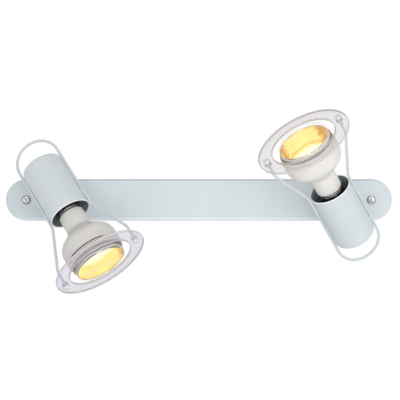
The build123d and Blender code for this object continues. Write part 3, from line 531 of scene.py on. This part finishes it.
for side in ("left", "right"):
    shell_enamel, place = new_material(f"{side}_fired_white_enamel")
    enamel = enamel_shader(shell_enamel, place, side)
    if side == "left":
        mouth = head_place(side)
        off_wall, along_tilt, height = [
            along_head_axis(shell_enamel, place, mouth, axis) for axis in (0, 1, 2)
        ]
        reach = add_node(shell_enamel, "Math", {"operation": "ABSOLUTE"}, {0: along_tilt})
        painted_reflection_line = add_node(
            shell_enamel, "MapRange",
            {"From Min": reflection_line_half_length, "From Max": 0.8 * reflection_line_half_length},
            {"Value": reach.outputs[0]},
        )
        for line_edge, line_inside, measured in (
            (reflection_line_from, reflection_line_from + reflection_line_blend, height),
            (reflection_line_to, reflection_line_to - reflection_line_blend, height),
            (0.0, reflection_line_side_blend, off_wall),
        ):
            painted_reflection_line = add_node(
                shell_enamel, "MapRange", {"From Min": line_edge, "From Max": line_inside},
                {"Value": measured, "To Max": painted_reflection_line.outputs[0]},
            )
        # Painted reflection: a dark line across the left lamp's enamel.
        repaint(shell_enamel, enamel, "#1b1613", painted_reflection_line.outputs[0])
    close_material(shell_enamel, enamel.outputs[0])
    finish_nodes(shell_enamel, f"{side}_lamp_shell")

finish_nodes(nickel, *both("lamp_cap"))

enamel_edge, place = new_material("burnt_enamel_edge")
edge_noise = add_node(enamel_edge, "TexNoise", {"Scale": cycles(3.0), "Detail": 3.0}, {"Vector": place})
edge_tone = add_node(
    enamel_edge, "Mix",
    {"data_type": "RGBA", 6: colour("#6d6862"), 7: colour("#9a958e")}, {"Factor": edge_noise.outputs["Fac"]},
)
edge_surface = add_node(
    enamel_edge, "BsdfPrincipled", {"Roughness": 0.4, "IOR": 1.5}, {"Base Color": edge_tone.outputs[2]},
)
close_material(enamel_edge, edge_surface.outputs[0])


def thin_clear(material, tint, rough, most_gloss):
    """A clear wall too thin to bend light. It tints what is behind it and mirrors more at a glancing view."""
    through = add_node(material, "BsdfTransparent", links={"Color": tint})
    gloss = add_node(
        material, "BsdfPrincipled", {"Base Color": colour("#ffffff"), "Metallic": 1.0, "Roughness": rough},
    )
    glance = add_node(material, "LayerWeight", {"Blend": 0.12})
    share = add_node(
        material, "MapRange", {"To Min": 0.015, "To Max": most_gloss}, {"Value": glance.outputs["Fresnel"]},
    )
    return add_node(
        material, "MixShader", links={0: share.outputs[0], 1: through.outputs[0], 2: gloss.outputs[0]},
    )


glass, place = new_material("clear_blown_glass")
glass_wave = add_node(glass, "TexNoise", {"Scale": cycles(30.0)}, {"Vector": place})
glass_tint = add_node(
    glass, "Mix",
    {"data_type": "RGBA", 6: colour("#fcfcfb"), 7: colour("#fefefe")}, {"Factor": glass_wave.outputs["Fac"]},
)
close_material(glass, thin_clear(glass, glass_tint.outputs[2], 0.03, 0.12).outputs[0])
finish_nodes(glass, *both("lamp_glass", "lamp_stem"))

coil, place = new_material("glowing_tungsten")
coil_turns = add_node(coil, "TexVoronoi", {"Scale": cycles(0.8)}, {"Vector": place})
coil_tone = add_node(
    coil, "Mix",
    {"data_type": "RGBA", 6: colour("#fff6d8"), 7: colour("#ffdf9a")},
    {"Factor": coil_turns.outputs["Distance"]},
)
coil_surface = add_node(
    coil, "BsdfPrincipled",
    {"Base Color": colour("#6a6459"), "Metallic": 1.0, "Roughness": 0.5, "Emission Strength": 3.0},
    {"Emission Color": coil_tone.outputs[2]},
)
close_material(coil, coil_surface.outputs[0])
finish_nodes(coil, *both("filament"))


def turned(name, outline, place, steps=144):
    """A closed turned piece from an outline of (radius, height) in millimetres, in a head's frame."""
    turns = [2 * pi * step / steps for step in range(steps)]
    corners = [
        (radius * cos(turn) / 1000, radius * sin(turn) / 1000, height / 1000)
        for radius, height in outline for turn in turns
    ]
    faces = []
    for row in range(len(outline)):
        low, high = row * steps, (row + 1) % len(outline) * steps
        for step in range(steps):
            after = (step + 1) % steps
            faces.append((low + step, low + after, high + after, high + step))
    mesh = bpy.data.meshes.new(name)
    mesh.from_pydata(corners, [], faces)
    mesh.shade_smooth()
    piece = bpy.data.objects.new(name, mesh)
    bpy.context.scene.collection.objects.link(piece)
    piece.matrix_world = place
    return piece


taper_from, taper_to = 72.6, 90.0
glass_wide, glass_narrow = 39.2, 36.6


def glass_radius(height):
    """Outside radius of the glass beside the lamp's front, in millimetres."""
    return glass_wide - (glass_wide - glass_narrow) * max(0.0, height - taper_from) / (taper_to - taper_from)


coat_start, coat_end, coat_sheet, edge_width = 71.6, 77.2, 0.12, 0.7
bowl_foot, bowl_sheet, throat_radius, throat_start, throat_end = 44.0, 0.4, 9.6, 34.0, 45.0
dim_blend = 0.007
mirror_ends = {"left": 88.3, "right": 84.6}
hot_ends = {"left": 0.49, "right": 0.33}
ring_glow = {"left": "#ffe78e", "right": "#fbc865"}
bowl_painted_shade_from = {"left": (0.0345, 0.046), "right": (0.0315, 0.0325)}
strip_reflection_tones = {
    "left": ((0.0, "#b5b0ac"), (0.1, "#8a8581"), (0.2, "#4a4643"), (0.32, "#a19d99"), (0.44, "#dddad8"),
             (0.54, "#5f5a56"), (0.64, "#b9b6b3"), (0.74, "#f6f6f6"), (0.83, "#8b8682"), (0.91, "#ffffff"),
             (0.97, "#5f574e")),
    "right": ((0.0, "#c9c6c2"), (0.2, "#e6e4e2"), (0.4, "#f2f1f0"), (0.55, "#d9d7d6"), (0.7, "#f8f8f8"),
              (0.9, "#ffffff"), (0.97, "#a39b90")),
}

for side, mirror_end in mirror_ends.items():
    mouth = head_place(side)
    strip_start = coat_end + edge_width

    strip, place = new_material(f"{side}_silvered_glass_strip")
    strip_axes = add_node(strip, "SeparateXYZ", links={0: place})
    strip_wave = add_node(strip, "TexNoise", {"Scale": cycles(17.0), "Detail": 2.5}, {"Vector": place})
    strip_share = add_node(
        strip, "MapRange", {"From Min": strip_start / 1000, "From Max": mirror_end / 1000},
        {"Value": strip_axes.outputs["Z"]},
    )
    strip_shift = add_node(
        strip, "Math", {"operation": "MULTIPLY_ADD", 1: 0.7, 2: -0.35}, {0: strip_wave.outputs["Fac"]},
    )
    strip_at = add_node(
        strip, "Math", {"operation": "ADD"}, {0: strip_share.outputs[0], 1: strip_shift.outputs[0]},
    )
    # Painted reflections: dark and white bands across the silvered strip.
    strip_painted_reflections = add_node(strip, "ValToRGB", links={0: strip_at.outputs[0]})
    for stop, code in strip_reflection_tones[side]:
        strip_painted_reflections.color_ramp.elements.new(stop).color = colour(code)
    for end in (0, -1):
        strip_painted_reflections.color_ramp.elements.remove(strip_painted_reflections.color_ramp.elements[end])
    strip_surface = add_node(
        strip, "BsdfPrincipled", {"Metallic": 0.35, "Roughness": 0.2},
        {"Base Color": strip_painted_reflections.outputs[0]},
    )
    close_material(strip, strip_surface.outputs[0])

    bowl, place = new_material(f"{side}_lit_gilt_mirror")
    bowl_axes = add_node(bowl, "SeparateXYZ", links={0: place})
    bowl_wave = add_node(bowl, "TexNoise", {"Scale": cycles(13.0), "Detail": 3.0}, {"Vector": place})
    bowl_share = add_node(
        bowl, "MapRange", {"From Min": bowl_foot / 1000, "From Max": mirror_end / 1000},
        {"Value": bowl_axes.outputs["Z"]},
    )
    bowl_shift = add_node(
        bowl, "Math", {"operation": "MULTIPLY_ADD", 1: 0.12, 2: -0.06}, {0: bowl_wave.outputs["Fac"]},
    )
    bowl_at = add_node(
        bowl, "Math", {"operation": "ADD"}, {0: bowl_share.outputs[0], 1: bowl_shift.outputs[0]},
    )
    # Painted light: the mirror bowl glows in bright bands.
    bowl_bands = add_node(bowl, "ValToRGB", links={0: bowl_at.outputs[0]})
    hot_end = hot_ends[side]
    for stop, code in (
        (0.04, "#fffef4"), (hot_end, "#fffde4"),
        (hot_end + 0.06, "#fff4ae"), (hot_end + 0.14, ring_glow[side]),
        (hot_end + 0.21, "#fff1a0"), (0.93, "#ffec90"), (0.97, "#ffdb78"), (0.995, "#efa84a"),
    ):
        bowl_bands.color_ramp.elements.new(stop).color = colour(code)
    for end in (0, -1):
        bowl_bands.color_ramp.elements.remove(bowl_bands.color_ramp.elements[end])
    bowl_flake = add_node(bowl, "TexNoise", {"Scale": cycles(5.0), "Detail": 4.0}, {"Vector": place})
    bowl_tone = bowl_bands
    # Painted shade: the bowl darkens to amber towards both ends.
    for towards, dim_start in zip((-1, 1), bowl_painted_shade_from[side]):
        end_reach = add_node(
            bowl, "Math", {"operation": "MULTIPLY", 1: towards}, {0: bowl_axes.outputs["Y"]},
        )
        end_wave = add_node(
            bowl, "Math", {"operation": "MULTIPLY_ADD", 1: 0.02},
            {0: bowl_flake.outputs["Fac"], 2: end_reach.outputs[0]},
        )
        end_painted_shade = add_node(
            bowl, "MapRange", {"From Min": dim_start, "From Max": dim_start + dim_blend, "To Max": 0.85},
            {"Value": end_wave.outputs[0]},
        )
        bowl_tone = add_node(
            bowl, "Mix", {"data_type": "RGBA", 7: colour("#b9803a")},
            {"Factor": end_painted_shade.outputs[0], 6: bowl_tone.outputs[2 if bowl_tone is not bowl_bands else 0]},
        )
    bowl_surface = add_node(
        bowl, "BsdfPrincipled",
        {"Base Color": colour("#6b4f22"), "Metallic": 1.0, "Roughness": 0.25, "Emission Strength": 1.0},
        {"Emission Color": bowl_tone.outputs[2]},
    )
    close_material(bowl, bowl_surface.outputs[0])

    skirt_enamel, place = new_material(f"{side}_fired_white_enamel_skirt")
    close_material(skirt_enamel, enamel_shader(skirt_enamel, place, side).outputs[0])

    coat_outline = [
        (glass_radius(z) + out, z)
        for out, z in ((0.0, coat_start), (coat_sheet, coat_start), (coat_sheet, taper_from),
                       (coat_sheet, coat_end), (0.0, coat_end))
    ]
    edge_outline = [
        (glass_radius(z) + out, z)
        for out, z in ((0.0, coat_end), (coat_sheet, coat_end), (coat_sheet, strip_start), (0.0, strip_start))
    ]
    strip_outline = [
        (glass_radius(z) - inward, z)
        for inward, z in ((1.5, strip_start - 1.0), (1.5, mirror_end - 1.2), (2.0, mirror_end),
                          (2.3, mirror_end), (1.9, mirror_end - 1.3), (1.9, strip_start - 1.0))
    ]
    bowl_inside = [
        (throat_radius, throat_start), (throat_radius, throat_end), (11.5, 47.5), (16.0, 50.0), (21.5, 54.0),
        (26.5, 59.5), (30.0, 66.0), (32.5, 73.0), (33.9, 79.5),
        (glass_radius(mirror_end) - 2.4, mirror_end - 0.2),
    ]
    bowl_outside = [(radius + bowl_sheet, height - bowl_sheet) for radius, height in bowl_inside[::-1]]
    bowl_outline = bowl_inside + bowl_outside

    for part_name, outline, material, slot in (
        ("enamel_skirt", coat_outline, skirt_enamel, "white_enamel"),
        ("enamel_edge", edge_outline, enamel_edge, "black_glass"),
        ("silvered_strip", strip_outline, strip, "lamp_glass"),
        ("mirror_bowl", bowl_outline, bowl, "lamp_glass"),
    ):
        piece = turned(f"{side}_lamp_{part_name}", outline, mouth)
        piece.data.materials.append(material)
        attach(piece, f"{side}_lamp")


# ------------------------------------------------------------------ clear ring
# A flat ring turned from 3 mm acrylic sheet sits round the lamp's front. Its clear faces are lilac and a
# little hazed, but cast hardly any shadow; painted light makes the right one warmer. Its turned edge is
# frosted, cream with painted lamp light and grey at the corners with painted reflections, and a darker
# painted reflection runs along a stretch of its back corner, darkest on the left.

ring_radius, ring_bore_radius, edge_round = 0.067, 0.0465, 0.0007
ring_back, ring_front = 0.0845, 0.0875
haze_share = 0.16
reflection_corner_half_length, reflection_corner_off_wall = 0.027, 0.06
back_corner_from, back_corner_to, front_corner_to = 0.0012, 0.0009, 0.0003
rim_cover = 0.8
warm_painted_light = {"left": -0.1, "right": 0.3}

for side in ("left", "right"):
    acrylic, place = new_material(f"{side}_hazed_clear_acrylic")
    mouth = head_place(side)
    radius, height = round_the_aim(acrylic, place, mouth)
    cast = add_node(acrylic, "TexNoise", {"Scale": cycles(120.0)}, {"Vector": place})
    # Painted light: the right ring's faces are shifted warmer.
    cast_share = add_node(
        acrylic, "Math", {"operation": "MULTIPLY_ADD", 1: 0.6, 2: warm_painted_light[side]}, {0: cast.outputs["Fac"]},
    )
    tint = add_node(
        acrylic, "Mix",
        {"data_type": "RGBA", 6: colour("#f8f7fc"), 7: colour("#fcfaf8")}, {"Factor": cast_share.outputs[0]},
    )
    haze_tone = add_node(
        acrylic, "Mix",
        {"data_type": "RGBA", 6: colour("#e9e7f4"), 7: colour("#f2efea")}, {"Factor": cast_share.outputs[0]},
    )
    haze = add_node(
        acrylic, "BsdfPrincipled", {"Roughness": 0.3, "IOR": 1.49}, {"Base Color": haze_tone.outputs[2]},
    )
    clear_faces = thin_clear(acrylic, tint.outputs[2], 0.05, 0.2)
    light_path = add_node(acrylic, "LightPath")
    seen_haze = add_node(
        acrylic, "MapRange", {"To Min": haze_share, "To Max": 0.0},
        {"Value": light_path.outputs["Is Shadow Ray"]},
    )
    clear = add_node(
        acrylic, "MixShader", links={0: seen_haze.outputs[0], 1: clear_faces.outputs[0], 2: haze.outputs[0]},
    )
    from_outside = add_node(acrylic, "Math", {"operation": "SUBTRACT", 0: ring_radius}, {1: radius})
    from_bore = add_node(acrylic, "Math", {"operation": "SUBTRACT", 1: ring_bore_radius}, {0: radius})
    from_edge = add_node(
        acrylic, "Math", {"operation": "MINIMUM"}, {0: from_outside.outputs[0], 1: from_bore.outputs[0]},
    )
    on_rim = add_node(
        acrylic, "Math", {"operation": "LESS_THAN", 1: edge_round}, {0: from_edge.outputs[0]},
    )
    off_wall, along_tilt = [along_head_axis(acrylic, place, mouth, axis) for axis in (0, 1)]
    corner_reach = add_node(acrylic, "Math", {"operation": "ABSOLUTE"}, {0: along_tilt})
    corner_near = add_node(
        acrylic, "MapRange",
        {"From Min": reflection_corner_half_length, "From Max": 0.7 * reflection_corner_half_length},
        {"Value": corner_reach.outputs[0]},
    )
    corner_front = add_node(
        acrylic, "Math", {"operation": "GREATER_THAN", 1: reflection_corner_off_wall}, {0: off_wall},
    )
    corner_share = add_node(
        acrylic, "Math", {"operation": "MULTIPLY"}, {0: corner_near.outputs[0], 1: corner_front.outputs[0]},
    )
    ribs = add_node(acrylic, "TexNoise", {"Scale": cycles(1.6), "Detail": 2.0}, {"Vector": place})
    # Painted light: the turned edge is cream with the lamp's warm light.
    rim_painted_lamp_light = add_node(
        acrylic, "Mix",
        {"data_type": "RGBA", 6: colour("#e9ddd0"), 7: colour("#fbf5ee")}, {"Factor": ribs.outputs["Fac"]},
    )
    # Painted reflections: grey corners on the edge, and a dark stretch along the back corner.
    back_corner = add_node(
        acrylic, "MapRange",
        {"From Min": ring_back + back_corner_from, "From Max": ring_back + back_corner_to}, {"Value": height},
    )
    corner_painted_reflection = add_node(
        acrylic, "Mix",
        {"data_type": "RGBA", 6: colour("#b3adaa"), 7: colour("#14110f" if side == "left" else "#8d8783")},
        {"Factor": corner_share.outputs[0]},
    )
    front_corner = add_node(
        acrylic, "MapRange", {"From Min": ring_front - edge_round, "From Max": ring_front - front_corner_to},
        {"Value": height},
    )
    rim_light_and_front_reflection = add_node(
        acrylic, "Mix", {"data_type": "RGBA", 7: colour("#b9b3ae")},
        {"Factor": front_corner.outputs[0], 6: rim_painted_lamp_light.outputs[2]},
    )
    rim_tone = add_node(
        acrylic, "Mix", {"data_type": "RGBA"},
        {"Factor": back_corner.outputs[0], 6: rim_light_and_front_reflection.outputs[2], 7: corner_painted_reflection.outputs[2]},
    )
    rim = add_node(
        acrylic, "BsdfPrincipled", {"Roughness": 0.35, "IOR": 1.49}, {"Base Color": rim_tone.outputs[2]},
    )
    rim_share = add_node(acrylic, "Math", {"operation": "MULTIPLY", 1: rim_cover}, {0: on_rim.outputs[0]})
    acrylic_surface = add_node(
        acrylic, "MixShader", links={0: rim_share.outputs[0], 1: clear.outputs[0], 2: rim.outputs[0]},
    )
    close_material(acrylic, acrylic_surface.outputs[0])
    finish_nodes(acrylic, f"{side}_clear_ring")


# ------------------------------------------------------------------ ring grommets
# Soft vinyl caps are pushed over the ends of the wire and grip the ring. The vinyl is milky, glossy and
# mottled between grey-green and a greenish white.

vinyl, place = new_material("milky_vinyl")
vinyl_cloud = add_node(vinyl, "TexNoise", {"Scale": cycles(3.0), "Detail": 2.0}, {"Vector": place})
vinyl_tone = add_node(
    vinyl, "Mix",
    {"data_type": "RGBA", 6: colour("#c6d3d0"), 7: colour("#e9f1ee")}, {"Factor": vinyl_cloud.outputs["Fac"]},
)
vinyl_surface = add_node(
    vinyl, "BsdfPrincipled", {"Roughness": 0.25, "IOR": 1.53}, {"Base Color": vinyl_tone.outputs[2]},
)
close_material(vinyl, vinyl_surface.outputs[0])
finish_nodes(vinyl, *both("ring_grommets"))


# ------------------------------------------------------------------ floor, light and camera
# A plain pale floor well below the light, white surroundings, two wide soft lamps in front, and a camera
# straight before the bar at its height, as far off as the photograph's perspective tells.

floor_drop, floor_radius = 0.6, 1.5
floor_mesh = bpy.data.meshes.new("floor")
floor_corners = [
    (floor_radius * cos(radians(a)), floor_radius * sin(radians(a)), -floor_drop) for a in range(0, 360, 4)
]
floor_mesh.from_pydata(floor_corners, [], [range(len(floor_corners))])
floor = bpy.data.objects.new("floor", floor_mesh)
bpy.context.scene.collection.objects.link(floor)
plaster, place = new_material("pale_floor")
plaster_cloud = add_node(plaster, "TexNoise", {"Scale": cycles(80.0)}, {"Vector": place})
plaster_tone = add_node(
    plaster, "Mix",
    {"data_type": "RGBA", 6: colour("#f5f5f4"), 7: colour("#fbfbfa")},
    {"Factor": plaster_cloud.outputs["Fac"]},
)
plaster_surface = add_node(
    plaster, "BsdfPrincipled", {"Roughness": 0.9}, {"Base Color": plaster_tone.outputs[2]},
)
close_material(plaster, plaster_surface.outputs[0])
floor_mesh.materials.append(plaster)

world = bpy.data.worlds.new("white_surroundings")
bpy.context.scene.world = world
world.use_nodes = True
world.node_tree.nodes.clear()
path = add_node(world, "LightPath")
seen_or_mirrored = add_node(
    world, "Math", {"operation": "MAXIMUM"},
    {0: path.outputs["Is Camera Ray"], 1: path.outputs["Is Glossy Ray"]},
)
seen = add_node(
    world, "Math", {"operation": "MAXIMUM"},
    {0: seen_or_mirrored.outputs[0], 1: path.outputs["Is Transmission Ray"]},
)
direction = add_node(world, "TexCoord").outputs["Generated"]
from_above = add_node(world, "SeparateXYZ", links={0: direction}).outputs["Z"]
surround = add_node(
    world, "MapRange", {"From Min": -0.6, "From Max": 0.8, "To Min": 0.9, "To Max": 0.5},
    {"Value": from_above},
)
strength = add_node(
    world, "MapRange", {"To Max": 1.0}, {"Value": seen.outputs[0], "To Min": surround.outputs[0]},
)
sky = add_node(world, "Background", {"Color": colour("#ffffff")}, {"Strength": strength.outputs[0]})
add_node(world, "OutputWorld", links={"Surface": sky.outputs[0]})

soft_lamps = [
    ("right_soft_lamp", (0.8, -2.2, 0.3), 1.8, 12.5),
    ("low_soft_lamp", (0.1, -1.2, -0.52), 0.9, 5.0),
]
for lamp_name, at, size, watts in soft_lamps:
    lamp = bpy.data.lights.new(lamp_name, "AREA")
    lamp.size, lamp.energy = size, watts
    lamp_object = bpy.data.objects.new(lamp_name, lamp)
    lamp_object.location = at
    lamp_object.rotation_euler = (-Vector(at)).to_track_quat("-Z", "Y").to_euler()
    bpy.context.scene.collection.objects.link(lamp_object)

camera_distance, picture_width_at_bar = 1.8, 0.58
bar_face_off_wall = 0.02
camera_right, camera_up = 0.0017, -0.0001
camera_data = bpy.data.cameras.new("camera")
camera_data.sensor_width = 36.0
camera_data.lens = camera_data.sensor_width * (camera_distance - bar_face_off_wall) / picture_width_at_bar
camera = bpy.data.objects.new("camera", camera_data)
camera.location = (camera_right, -camera_distance, camera_up)
camera.rotation_euler = (radians(90), 0, 0)
bpy.context.scene.collection.objects.link(camera)
bpy.context.scene.camera = camera
bpy.context.scene.view_settings.view_transform = "Standard"
